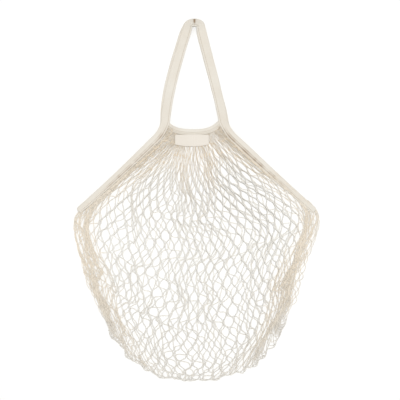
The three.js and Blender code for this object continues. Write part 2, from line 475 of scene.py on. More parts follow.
def add_node(
    tree: Tree,
    kind: str,
    settings: dict[str, object] | None = None,
    values: dict[str | int, object] | None = None,
    links: dict[str | int, Socket] | None = None,
) -> Node:
    """Add a shader node with its settings and links.

    Args:
        tree: Node tree of a material or world.
        kind: Node type, such as ShaderNodeBump.
        settings: Values by the name of a property.
        values: Values of inputs, by the name or number of the input.
        links: Output sockets to join, by the name or number of the input.

    Returns:
        The new node.
    """
    node = tree.nodes.new(kind)
    for name, value in (settings or {}).items():
        setattr(node, name, value)
    for name, value in (values or {}).items():
        node.inputs[name].default_value = value
    for name, socket in (links or {}).items():
        tree.links.new(socket, node.inputs[name])
    return node


def wave_scale(spacing_mm: float) -> float:
    """Scale of a wave texture, whose phase is 20 times its place in metres, for bands that far apart."""
    return 2.0 * math.pi / 20.0 / (spacing_mm * MM)


def noise_scale(swell_mm: float) -> float:
    """Scale of a noise texture whose swells are about that wide, on coordinates in metres."""
    return 1.0 / (swell_mm * MM)


@dataclass(frozen=True)
class CottonFinish:
    """An undyed cotton textile: pale, matt and a little fuzzy, with the thread of its make in relief.

    The colour runs between a clean and a beige lot of fibre, as undyed cotton does, in wide blotches with
    small flecks of seed on them. Two sets of bands, one along the piece and one across, give the thread its
    relief and darken the gaps. A slant gives the plies of a twisted string. Some light goes through.
    """

    name: str
    pale: str
    beige: str
    gap: str
    roughness: float
    sheen: float
    through: float
    thread_along_mm: float
    thread_across_mm: float
    relief_mm: float
    slant: float = 0.0
    # Painted light colour, on pieces whose mesh says where: warm bounce light in bunches, shade in grooves
    # and creases.
    close: str = ""
    blotch_mm: float = 42.0
    fleck_mm: float = 3.5
    fleck_share: float = 0.45
    # Sums of blotch and fleck at which the fibre is clean and at which it is beige.
    tone_range: Pair = (0.5, 1.0)
    thread_waver: float = 0.5
    relief_strength: float = 0.6
    ior: float = 1.5
    gloss: float = 0.25
    sheen_roughness: float = 0.6

    def tone(self, tree: Tree, place: Node) -> Socket:
        """Share of beige fibre from place to place.

        Args:
            tree: Node tree of the material.
            place: Its texture coordinates.

        Returns:
            Socket with a value from 0 to 1.
        """
        spot = {"Vector": place.outputs["Object"]}
        blotch, fleck = [
            add_node(tree, "ShaderNodeTexNoise", {}, {"Scale": noise_scale(size), "Detail": detail}, spot)
            for size, detail in ((self.blotch_mm, 3.0), (self.fleck_mm, 2.0))
        ]
        links = {0: fleck.outputs["Fac"], 2: blotch.outputs["Fac"]}
        both = add_node(tree, "ShaderNodeMath", {"operation": "MULTIPLY_ADD"}, {1: self.fleck_share}, links)
        limits = {"From Min": self.tone_range[0], "From Max": self.tone_range[1]}
        ranged = add_node(tree, "ShaderNodeMapRange", {}, limits, {"Value": both.outputs["Value"]})
        return ranged.outputs["Result"]

    def threads(self, tree: Tree, place: Node) -> Socket:
        """Height of the threads on the surface.

        Args:
            tree: Node tree of the material.
            place: Its texture coordinates.

        Returns:
            Socket with a value from 0 in the gaps to 1 on the threads.
        """
        turn = {"Rotation": (0.0, 0.0, self.slant)}
        turned = add_node(tree, "ShaderNodeMapping", {}, turn, {"Vector": place.outputs["UV"]})
        bands = {}
        for slot, (axis, spacing) in enumerate((("X", self.thread_along_mm), ("Y", self.thread_across_mm))):
            values = {"Scale": wave_scale(spacing), "Distortion": self.thread_waver}
            links = {"Vector": turned.outputs["Vector"]}
            bands[slot] = add_node(
                tree, "ShaderNodeTexWave", {"bands_direction": axis}, values, links
            ).outputs["Fac"]
        return add_node(tree, "ShaderNodeMath", {"operation": "MAXIMUM"}, {}, bands).outputs["Value"]

    def material(self) -> Material:
        """Make the finish.

        Returns:
            The node material.
        """
        made = bpy.data.materials.new(self.name)
        made.use_nodes = True
        tree = made.node_tree
        tree.nodes.clear()
        place = add_node(tree, "ShaderNodeTexCoord")
        threads = self.threads(tree, place)
        mix = {"data_type": "RGBA"}
        lots = {COLOUR_A: linear(self.pale), COLOUR_B: linear(self.beige)}
        fibre = add_node(tree, "ShaderNodeMix", mix, lots, {0: self.tone(tree, place)})
        links = {0: threads, COLOUR_B: fibre.outputs[COLOUR_OUT]}
        colour = add_node(tree, "ShaderNodeMix", mix, {COLOUR_A: linear(self.gap)}, links).outputs[COLOUR_OUT]
        # Mix in the painted light colour: warm bounce light in bunches, painted shade in grooves and creases.
        if self.close:
            near = add_node(tree, "ShaderNodeAttribute", {"attribute_name": PAINTED_LIGHT})
            links = {0: near.outputs["Fac"], COLOUR_A: colour}
            tinted = add_node(tree, "ShaderNodeMix", mix, {COLOUR_B: linear(self.close)}, links)
            colour = tinted.outputs[COLOUR_OUT]
        relief = {"Strength": self.relief_strength, "Distance": self.relief_mm * MM}
        bump = add_node(tree, "ShaderNodeBump", {}, relief, {"Height": threads})
        normal = {"Normal": bump.outputs["Normal"]}
        surface = {
            "Roughness": self.roughness,
            "IOR": self.ior,
            "Specular IOR Level": self.gloss,
            "Sheen Weight": self.sheen,
            "Sheen Roughness": self.sheen_roughness,
        }
        cloth = add_node(tree, "ShaderNodeBsdfPrincipled", {}, surface, {"Base Color": colour, **normal})
        glow = add_node(tree, "ShaderNodeBsdfTranslucent", {}, {}, {"Color": colour, **normal})
        shaders = {1: cloth.outputs["BSDF"], 2: glow.outputs["BSDF"]}
        mixed = add_node(tree, "ShaderNodeMixShader", {}, {0: self.through}, shaders)
        add_node(tree, "ShaderNodeOutputMaterial", {}, {}, {"Surface": mixed.outputs["Shader"]})
        return made


# Soft twisted string: pale from afar, with slanted plies close up, and a painted warm tint in bunches, for
# bounced light.
COTTON_STRING = CottonFinish(
    name="Undyed cotton string, spun and knitted",
    pale="#e6e4de",
    beige="#dedad2",
    gap="#d7d2c9",
    roughness=0.92,
    sheen=0.15,
    through=0.06,
    thread_along_mm=1.1,
    thread_across_mm=400.0,
    relief_mm=0.2,
    slant=0.6,
    close="#e6d8c2",
)
# Flat woven tape: matt, even and slightly warmer than the string, with painted brown shade in its stitched
# grooves and in the crease at the crest. Its weave is drawn a little coarser than it is, to show.
COTTON_TAPE = CottonFinish(
    name="Undyed cotton tape, woven",
    pale="#e2ded5",
    beige="#dad3c7",
    gap="#cec6b9",
    roughness=0.9,
    sheen=0.15,
    through=0.08,
    thread_along_mm=1.0,
    thread_across_mm=1.4,
    relief_mm=0.25,
    close="#917a5f",
)
# Smooth plain cloth: even and a little warm, with a fine weave.
LABEL_CLOTH = CottonFinish(
    name="Cotton label cloth, plain woven",
    pale="#dfd9d0",
    beige="#dad3c8",
    gap="#d2cabe",
    roughness=0.85,
    sheen=0.15,
    through=0.05,
    thread_along_mm=0.7,
    thread_across_mm=0.7,
    relief_mm=0.12,
)
# Fine sewing thread: a shade darker than the tape, so that the seams read as thin dotted lines.
SEWING_THREAD = CottonFinish(
    name="Cotton sewing thread, twisted",
    pale="#cfc6b6",
    beige="#bdb09a",
    gap="#a89b85",
    roughness=0.8,
    sheen=0.1,
    through=0.05,
    thread_along_mm=0.5,
    thread_across_mm=400.0,
    relief_mm=0.08,
    slant=0.6,
)


@dataclass
class MeshParts:
    """Corners, faces and texture places of one mesh, in millimetres."""

    vertices: Array
    quads: Array
    quad_uv: Array
    caps: Array
    # Painted light by corner: warm tint in bunches, painted shade in stitched grooves and creases.
    crowding: Array | None = None

    def piece(self, name: str, material: Material) -> Piece:
        """Make the mesh a shown object.

        Args:
            name: Name of the object and its mesh.
            material: Finish of all its faces.

        Returns:
            The object, at the origin of the frame.
        """
        mesh = bpy.data.meshes.new(name)
        corners = np.concatenate([self.quads.ravel(), self.caps.ravel()])
        counts = np.repeat([4, self.caps.shape[1]], [len(self.quads), len(self.caps)])
        starts = np.concatenate([[0], np.cumsum(counts)[:-1]])
        mesh.vertices.add(len(self.vertices))
        mesh.vertices.foreach_set("co", (self.vertices * MM).astype(np.float32).ravel())
        mesh.loops.add(len(corners))
        mesh.loops.foreach_set("vertex_index", corners.astype(np.int32))
        mesh.polygons.add(len(counts))
        mesh.polygons.foreach_set("loop_start", starts.astype(np.int32))
        mesh.polygons.foreach_set("use_smooth", np.ones(len(counts), bool))
        places = np.zeros((len(corners), 2), np.float32)
        places[: self.quads.size] = self.quad_uv.reshape(-1, 2) * MM
        mesh.uv_layers.new(name="thread").data.foreach_set("uv", places.ravel())
        # The painted light goes on the mesh as a value that the finish reads.
        if self.crowding is not None:
            close = mesh.attributes.new(PAINTED_LIGHT, "FLOAT", "POINT")
            close.data.foreach_set("value", self.crowding.astype(np.float32))
        mesh.update(calc_edges=True)
        mesh.validate()
        mesh.materials.append(material)
        made = bpy.data.objects.new(name, mesh)
        bpy.context.scene.collection.objects.link(made)
        return made


def swept(rings: Array, along: Array, around: Array) -> MeshParts:
    """Closed sweeps through rings of points.

    Args:
        rings: Points, by sweep, ring, side and axis, wound against the clock as seen from ahead.
        along: Texture place of each ring along its sweep, by sweep and ring.
        around: Texture place of each side, with one more for the seam.

    Returns:
        The sweeps as one mesh, capped at both ends.
    """
    count, steps, sides, _ = rings.shape
    index = np.arange(count * steps * sides).reshape(count, steps, sides)
    after = np.roll(index, -1, axis=2)
    quads = np.stack([index[:, :-1], after[:, :-1], after[:, 1:], index[:, 1:]], axis=-1)
    first = np.broadcast_to(around[:-1], (count, steps - 1, sides))
    second = np.broadcast_to(around[1:], (count, steps - 1, sides))
    low = np.broadcast_to(along[:, :-1, None], first.shape)
    high = np.broadcast_to(along[:, 1:, None], first.shape)
    uv = np.stack([first, low, second, low, second, high, first, high], axis=-1)
    caps = np.concatenate([index[:, 0, ::-1], index[:, -1, :]])
    return MeshParts(rings.reshape(-1, 3), quads.reshape(-1, 4), uv.reshape(-1, 4, 2), caps)


def ply_angles(steps: int, sides: int, turn: float) -> Array:
    """Angles of the corners of a strand's rings, each ring turned on from the one before."""
    return np.arange(sides) * 2.0 * math.pi / sides + np.arange(steps)[:, None] * turn


def strands(
    paths: Array,
    radius: Array | float,
    sides: int = STRAND_SIDES,
    lobe: float = 0.0,
    turn: float = PLY_TURN,
) -> MeshParts:
    """Round strands along paths, with plies that wind round them.

    Args:
        paths: Points, by strand, ring and axis.
        radius: Half thickness, one or one for each strand and ring.
        sides: Corners of the section.
        lobe: Share by which every second corner is drawn in, between two plies.
        turn: Angle by which each ring is turned on from the one before.

    Returns:
        The strands as one mesh.
    """
    count, steps, _ = paths.shape
    ahead = unit(np.gradient(paths, axis=1))
    normal = unit(np.cross(ahead[:, 0], UP) + 1e-6)
    normals = np.empty_like(paths)
    for step in range(steps):
        normal = unit(normal - ahead[:, step] * np.sum(normal * ahead[:, step], axis=1, keepdims=True))
        normals[:, step] = normal
    across = np.cross(ahead, normals)
    angles = ply_angles(steps, sides, turn)
    reach = 1.0 - lobe * (np.arange(sides) % 2)
    wide = np.broadcast_to(radius, (count, steps))[:, :, None] * reach
    rings = (
        paths[:, :, None, :]
        + (wide * np.cos(angles))[..., None] * normals[:, :, None, :]
        + (wide * np.sin(angles))[..., None] * across[:, :, None, :]
    )
    girth = 2.0 * math.pi * float(np.mean(radius))
    return swept(rings, distances(paths), np.linspace(0.0, girth, sides + 1))


def dressed(piece: Piece, node: str = "") -> Piece:
    """Settle a finished piece on the bag.

    Args:
        piece: The piece.
        node: Solid that it replaces, if it replaces one.

    Returns:
        The same piece.
    """
    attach(piece, "root")
    if node:
        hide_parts(node)
    return piece


@dataclass
class JointFrames:
    """Middles of the joints, and directions down the strands and across them, by column, row and axis."""

    at: Array
    ahead: Array
    side: Array


@dataclass
class NetLayout:
    """Where the joints of the knitted net lie.

    The strands hang from the neck. Those in the middle run straight down, and those at the sides run along
    the hems to the corners and on down the folds, in a dense bunch. Places across run from 0 at the left edge
    to 1 at the right one, and levels from 0 at the neck to 1 at the bottom.
    """

    plan: BagPlan
    strand_count: int = 80
    half_rows: int = 26
    thickness: float = 1.6
    # Length of string from joint to joint, and how joints that are further apart are drawn together.
    reach: float = 18.0
    relax_rounds: int = 60
    relax_share: float = 0.25
    # Where the folds end and the bottom begins, and the share of the edges that is drawn together there.
    knee_y: float = -200.0
    knee_share: float = 0.1
    # Edge of the net under the left and the right hem: its inset from the hem's middle line at the corner,
    # how far it is tucked in at the neck, its least inset there, and how far it is moved up. Then how far the
    # net sinks beside the hems, and the reach of that.
    corner_insets: Pair = (1.0, -3.0)
    hem_tucks: Pair = (3.0, 11.0)
    least_inset: float = 1.0
    neck_tuck: float = 7.0
    hem_sink: float = 2.6
    hem_reach: float = 8.0
    # Height of the fold, and the distance within which the two layers part.
    fold_height: float = 3.5
    fold_round: float = 20.0
    # How far the fold wavers: at the corners, what is added at the knees, and how far below the corners that
    # starts. It fades out at both ends.
    fold_swing: Pair = (1.2, 3.2)
    swing_drop: float = 60.0
    swing_fade: float = 0.2
    fold_swells: int = 54
    edge_seed: int = 3
    weave_seed: int = 11
    # Strands side by side from the left fold to the right one, and the share of width that each group has at
    # some levels. The net is pleated beside the folds: strands of a share below zero turn back.
    groups: tuple[int, ...] = (3, 6, 6, 4, 9, 28, 9, 3, 5, 5, 2)
    group_shares: tuple[tuple[float, tuple[float, ...]], ...] = (
        (0.0, (0.05, 0.06, 0.04, 0.05, 0.13, 0.34, 0.13, 0.05, 0.04, 0.06, 0.05)),
        (0.1, (0.015, 0.055, -0.01, 0.045, 0.13, 0.53, 0.13, 0.035, -0.01, 0.05, 0.012)),
        (0.2, (0.008, 0.042, -0.03, 0.032, 0.16, 0.57, 0.16, 0.028, -0.02, 0.035, 0.01)),
        (0.3, (0.007, 0.038, -0.03, 0.028, 0.19, 0.535, 0.19, 0.022, -0.02, 0.03, 0.008)),
        (0.4, (0.008, 0.052, -0.045, 0.042, 0.185, 0.525, 0.185, 0.022, -0.022, 0.032, 0.01)),
        (0.5, (0.01, 0.102, -0.092, 0.092, 0.17, 0.436, 0.17, 0.065, -0.065, 0.08, 0.032)),
        (0.6, (0.01, 0.116, -0.105, 0.105, 0.155, 0.436, 0.155, 0.08, -0.08, 0.093, 0.035)),
        (0.68, (0.01, 0.12, -0.106, 0.106, 0.135, 0.47, 0.13, 0.08, -0.08, 0.095, 0.04)),
        (0.76, (0.02, 0.05, -0.03, 0.045, 0.125, 0.58, 0.125, 0.045, -0.03, 0.05, 0.02)),
        (0.84, (0.03, 0.02, 0.0, 0.045, 0.135, 0.54, 0.135, 0.045, 0.0, 0.02, 0.03)),
        (0.92, (0.04, 0.015, 0.015, 0.05, 0.14, 0.48, 0.14, 0.05, 0.015, 0.015, 0.04)),
        (1.0, (0.045, 0.03, 0.03, 0.05, 0.135, 0.42, 0.135, 0.05, 0.03, 0.03, 0.045)),
    )
    # Unevenness of the gaps between strands: in long streaks, less of it lower down, and from cell to cell.
    streak_cells: tuple[int, int] = (30, 5)
    streak_strength: Pair = (0.7, 0.4)
    cell_cells: tuple[int, int] = (60, 20)
    cell_strength: float = 0.5
    # Where the net is drawn together: place across and level, reach across and down, and how far.
    gathers: tuple[tuple[float, float, float, float, float], ...] = (
        (0.44, 0.06, 0.05, 0.12, 0.45),
        (0.53, 0.27, 0.04, 0.1, 0.35),
        (0.3, 0.05, 0.06, 0.08, 0.3),
    )
    # Rows are that share further apart at the neck, closer at the bottom, and uneven, least at the sides.
    row_stretch: float = 0.15
    row_strength: float = 0.3
    row_swells: tuple[tuple[tuple[int, int], float], ...] = (((14, 7), 0.5), ((40, 20), 1.0))
    row_fade: float = 0.4
    # Swells of the net's own looseness, by their number across and down, with their reach in front and rear.
    swells: tuple[tuple[tuple[int, int], Pair], ...] = (
        ((8, 7), (2.0, 6.0)),
        ((24, 14), (2.0, 2.4)),
        ((60, 24), (1.6, 1.6)),
    )
    loose_fade: float = 0.5
    # How far the pleats are drawn in from the left and the right fold, for which columns and at which levels.
    draws: Pairs = ((4.5, 1.5), (-9.0, 3.0))
    draw_columns: Pairs = ((0.0, 2.0), (15.0, 24.0))
    draw_levels: Pairs = ((0.6, 0.72), (0.95, 1.0))
    # How high the pleats lie over each other, at the ends of the groups of one half and at which levels.
    pleat_lifts: tuple[float, ...] = (0.0, 0.0, 0.7, 2.1, 2.8, 0.0)
    pleat_levels: Pairs = ((0.42, 0.58), (0.85, 1.0))
    # How much the joints in bunches are shifted about, at the ends of the groups of one half, how far that
    # is in plan and in height, and by how much and at which levels it grows and then settles.
    bunch_shifts: tuple[float, ...] = (0.0, 0.6, 1.0, 1.0, 0.85, 0.3)
    crumple: float = 9.0
    bunch_depth: float = 2.0
    bunch_growth: tuple[float, float, float] = (0.9, 0.7, 0.85)
    bunch_settling: tuple[float, float, float] = (0.1, 0.84, 0.94)
    end_level: float = 0.01
    # Unevenness of the heights, for the front and the rear, and how high the rear lies in strands.
    lift_cells: tuple[int, int] = (24, 14)
    lift_strengths: Pair = (0.8, 2.2)
    rear_lift: float = 0.6
    # Reach within which neighbours count as close, and the counts for an open net and for a bunch.
    crowd_reach: float = 10.0
    crowd_counts: Pair = (6.5, 13.5)
    fold: PlanCurve = field(init=False)
    bottom: PlanCurve = field(init=False)
    neck: PlanCurve = field(init=False)
    sides: list[PlanCurve] = field(init=False)

    def __post_init__(self) -> None:
        """Work out the four edges of the laid out net."""
        plan = self.plan
        fold = plan.fold_line()
        lowest = int(np.argmin(fold.points[:, 1]))
        left_knee = float(np.interp(-self.knee_y, -fold.points[:lowest, 1], fold.shares[:lowest]))
        right_knee = float(np.interp(self.knee_y, fold.points[lowest:, 1], fold.shares[lowest:]))
        low = smoothstep(-fold.points[:, 1], self.swing_drop - plan.corner_y, -self.knee_y)
        swing = self.fold_swing[0] + self.fold_swing[1] * low
        swing = swing * smoothstep(np.sin(math.pi * fold.shares), 0.0, self.swing_fade)
        swing = swing * waver(np.random.default_rng(self.edge_seed), len(fold.points), self.fold_swells)
        self.fold = PlanCurve(fold.points - fold.left_of(fold.shares) * swing[:, None])
        self.bottom = self.fold.part(left_knee, right_knee)
        self.neck = plan.neck_edge(*[self.hem_ends(side)[1] for side in Side])
        self.sides = []
        for side in Side:
            corner, neck = self.hem_ends(side)
            down = self.fold.part(*side.pick(((0.0, left_knee), (1.0, right_knee))))
            self.sides.append(PlanCurve(np.vstack([plan.hem_line(side, neck, corner), down.points])))

    @property
    def levels(self) -> Array:
        """Level of every row."""
        return np.linspace(0.0, 1.0, self.half_rows + 1)

    def hem_ends(self, side: Side) -> tuple[Array, Array]:
        """Ends of the edge of the net under a hem.

        Args:
            side: Left or right hem.

        Returns:
            The ends at the corner and at the neck, in plan.
        """
        plan = self.plan
        tucked = max(self.least_inset, plan.hem_width / 2.0 + plan.gap - side.pick(self.hem_tucks))
        neck = plan.hem_edge(side, tucked)[1] + plan.hem_pull(side) + (0.0, self.neck_tuck)
        return plan.hem_edge(side, side.pick(self.corner_insets))[0], neck

    def patch(self, across: Array, down: Array) -> Array:
        """Places in plan between the four edges of the net.

        Args:
            across: Shares from the left edge to the right one.
            down: Shares from the neck to the bottom.

        Returns:
            Points in plan.
        """
        a, d = across[..., None], down[..., None]
        left, right = self.sides
        drawn = 1.0 - crowded(1.0 - down, self.knee_share)
        spread = crowded(2.0 * np.minimum(across, 1.0 - across), self.knee_share) / 2.0
        spread = np.where(across < 0.5, spread, 1.0 - spread)
        ends = (1.0 - d) * self.neck.at(across) + d * self.bottom.at(spread)
        sides = (1.0 - a) * left.at(drawn) + a * right.at(drawn)
        top = (1.0 - a) * self.neck.at(0.0) + a * self.neck.at(1.0)
        base = (1.0 - a) * self.bottom.at(0.0) + a * self.bottom.at(1.0)
        return ends + sides - (1.0 - d) * top - d * base

    def joint_shares(self, rng: Rng) -> tuple[Array, Array]:
        """Shares across and down of every joint.

        Args:
            rng: Seeded source of the unevenness.

        Returns:
            Two fields, by column and row.
        """
        level = self.levels
        rows, columns = len(level), self.strand_count + 1
        places, table = zip(*self.group_shares)
        counts = np.array(self.groups)
        widths = np.stack([np.interp(level, places, shares) for shares in zip(*table)])
        gaps = np.repeat(widths / counts[:, None], counts, axis=0)
        most, less = self.streak_strength
        streaks = soft_noise(rng, gaps.shape, self.streak_cells) * (most - less * level)
        gaps = gaps * np.exp(streaks + self.cell_strength * soft_noise(rng, gaps.shape, self.cell_cells))
        column = np.linspace(0.0, 1.0, len(gaps))[:, None]
        for across, down, width, height, strength in self.gathers:
            gaps = gaps * (1.0 - strength * bell(column, across, width) * bell(level, down, height))
        across = np.concatenate([np.zeros((1, rows)), np.cumsum(gaps, axis=0)])
        steps = np.broadcast_to(1.0 + self.row_stretch * np.cos(math.pi * level[1:]), (columns, rows - 1))
        fade = np.sin(math.pi * np.linspace(0.0, 1.0, columns))[:, None] ** self.row_fade
        swells = sum(share * soft_noise(rng, steps.shape, cells) for cells, share in self.row_swells)
        steps = steps * np.exp(self.row_strength * fade * swells)
        down = np.concatenate([np.zeros((columns, 1)), np.cumsum(steps, axis=1)], axis=1)
        return np.clip(across / across[-1:], 0.0, 1.0), down / down[:, -1:]

    def relaxed(self, points: Array) -> Array:
        """Joints drawn together where the strand between them would be too long.

        Args:
            points: Places in plan, by column, row and axis. The outermost ones stay.

        Returns:
            The moved places.
        """
        columns, rows, _ = points.shape
        col, row = np.meshgrid(np.arange(columns - 1), np.arange(rows - 1), indexing="ij")
        even = (col + row) % 2 == 0
        start = (np.where(even, col, col + 1) * rows + row).ravel()
        end = (np.where(even, col + 1, col) * rows + row + 1).ravel()
        free = np.zeros((columns, rows), bool)
        free[1:-1, 1:-1] = True
        flat = points.reshape(-1, 2).copy()
        for _ in range(self.relax_rounds):
            gap = flat[end] - flat[start]
            length = np.linalg.norm(gap, axis=1, keepdims=True)
            pull = gap * np.maximum(0.0, 1.0 - self.reach / np.maximum(length, 1e-6)) * self.relax_share
            move = np.zeros_like(flat)
            np.add.at(move, start, pull)
            np.add.at(move, end, -pull)
            flat += move * free.reshape(-1, 1)
        return flat.reshape(points.shape)

    def by_column(self, half: tuple[float, ...]) -> Array:
        """Values at the ends of the groups of the left half, mirrored and carried on to every column."""
        ends = np.concatenate([[0], np.cumsum(self.groups)])
        return np.interp(np.arange(self.strand_count + 1), ends, [*half, *half[::-1]])[:, None]

    def bunch_shift(self) -> Array:
        """How much every joint is shifted about in the bunches beside the hems and folds.

        Returns:
            Shares, by column and row.
        """
        level = np.linspace(self.end_level, 1.0 - self.end_level, self.half_rows + 1)
        more, *grown = self.bunch_growth
        less, *settled = self.bunch_settling
        by_row = np.sqrt(np.sin(math.pi * level)) * (1.0 + more * smoothstep(level, *grown))
        return self.by_column(self.bunch_shifts) * (by_row * (1.0 - less * smoothstep(level, *settled)))

    def drawn_in(self, side: Side) -> Array:
        """How far the pleats of one side lie inside the fold.

        Args:
            side: Left or right fold.

        Returns:
            Shifts in plan, by column, row and axis.
        """
        column = np.arange(self.strand_count + 1)
        from_fold = side.pick((column, self.strand_count - column))
        by_column = plateau(from_fold, *self.draw_columns)[:, None]
        shares = by_column * plateau(self.levels, *self.draw_levels)
        return shares[..., None] * np.array(side.pick(self.draws))

    def heights(self, flat: Array, layer: Layer, rng: Rng) -> Array:
        """Height of every joint's middle above the floor.

        Args:
            flat: Places in plan, by column, row and axis.
            layer: The front rises over the rear, which lies on the floor.
            rng: Seeded source of the unevenness.

        Returns:
            Heights, by column and row.
        """
        away = away_from(self.fold.points[::MEASURE_STRIDE], flat)
        closing = np.sqrt(1.0 - (1.0 - np.clip(away / self.fold_round, 0.0, 1.0)) ** 2)
        uneven = layer.pick(self.lift_strengths) * soft_noise(rng, away.shape, self.lift_cells)
        if layer is Layer.FRONT:
            level = self.plan.front_height(flat) - self.plan.wall / 2.0 + uneven
            hems = np.vstack([line.points[:CURVE_STEPS:MEASURE_STRIDE] for line in self.sides])
            level = level - self.hem_sink * bell(away_from(hems, flat), 0.0, self.hem_reach)
        else:
            level = self.thickness * self.rear_lift + np.abs(uneven)
        pleats = self.by_column(self.pleat_lifts) * plateau(self.levels, *self.pleat_levels)
        return self.fold_height + (level - self.fold_height) * closing + pleats

    def frames(self, layer: Layer, rng: Rng) -> JointFrames:
        """Places and directions of every joint of one side of the bag.

        Args:
            layer: Side of the bag.
            rng: Seeded source of the unevenness.

        Returns:
            The frames. Every second one is a joint, as on a draughts board.
        """
        across, down = self.joint_shares(np.random.default_rng(self.weave_seed))
        flat = self.patch(across, down) + self.drawn_in(Side.LEFT) + self.drawn_in(Side.RIGHT)
        inside = np.maximum(0.0, np.sin(math.pi * across) * np.sin(math.pi * down))
        loose = inside[..., None] ** self.loose_fade
        for cells, reaches in self.swells:
            wander = [soft_noise(rng, across.shape, cells) for _ in range(2)]
            flat = flat + np.stack(wander, axis=-1) * loose * layer.pick(reaches)
        shift = self.bunch_shift()
        flat = flat + shift[..., None] * self.crumple * (rng.random(flat.shape) - 0.5)
        flat = self.relaxed(flat)
        up = layer.pick((UP, -UP))
        depth = shift * rng.random(shift.shape) * -up[2] * self.bunch_depth
        joints = lifted(flat, self.heights(flat, layer, rng) + depth)
        column, row = [np.arange(size) for size in joints.shape[:2]]
        above = np.where(row >= 2, row - 2, row)
        below = np.where(row < len(row) - 2, row + 2, row)
        ahead = unit(joints[:, below] - joints[:, above])
        ahead[:, -1] = -up
        side = joints[np.minimum(column + 2, column[-1])] - joints[np.maximum(column - 2, 0)]
        side = unit(side - ahead * np.sum(side * ahead, axis=-1, keepdims=True))
        side[0], side[-1] = up, -up
        return JointFrames(joints, ahead, side)

    def crowding(self, joints: Array) -> Array:
        """How close the strands lie at every joint.

        Args:
            joints: Middles of the joints, by column, row and axis.

        Returns:
            Shares from 0 in the open net to 1 in a bunch, by column and row.
        """
        flat = joints[..., :2].reshape(-1, 2)
        away = np.stack([((flat - spot) ** 2).sum(axis=1) for spot in flat])
        count = np.exp(-away / (2.0 * self.crowd_reach**2)).sum(axis=1)
        return smoothstep(count.reshape(joints.shape[:2]), *self.crowd_counts)


